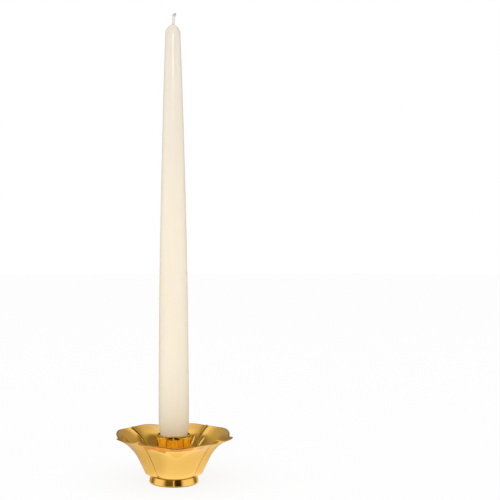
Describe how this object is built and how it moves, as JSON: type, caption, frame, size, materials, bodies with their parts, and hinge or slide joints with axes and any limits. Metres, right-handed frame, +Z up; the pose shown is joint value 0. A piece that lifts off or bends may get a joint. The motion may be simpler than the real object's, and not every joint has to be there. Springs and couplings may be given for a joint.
{
  "type": "candlestick",
  "caption": "Low brass candlestick: a petal-shaped bowl on a ring foot, an upright candle socket in its middle, and a tall ivory taper candle that lifts out.",
  "frame": {"origin": "centre of the foot's base, on the surface that it stands on", "axes": "+Z up along the candle; +X and +Y through the middles of two neighbouring petals, and the wick's free end leans towards +X"},
  "size_m": [0.084, 0.084, 0.3427],
  "materials": {
    "polished_brass": "polished, with fine wiping scratches and a thin warm lacquer",
    "screw_brass": "turned, unpolished",
    "spring_steel": "dark, lightly brushed",
    "ivory_wax": "smooth satin wax, slightly translucent",
    "waxed_cotton": "braided cotton soaked in wax, darker at its tip"
  },
  "bodies": {
    "holder": {"petal_bowl": "polished_brass", "foot_ring": "polished_brass", "candle_socket": "polished_brass", "socket_screw": "screw_brass", "spring_washer": "spring_steel", "plain_washer": "screw_brass"},
    "candle": {"taper_wax": "ivory_wax", "wick": "waxed_cotton"}
  },
  "joints": [
    {"name": "candle_lift", "type": "slide", "parent": "holder", "child": "candle", "axis": [0, 0, 1], "range_m": [0, 0.035]}
  ]
}
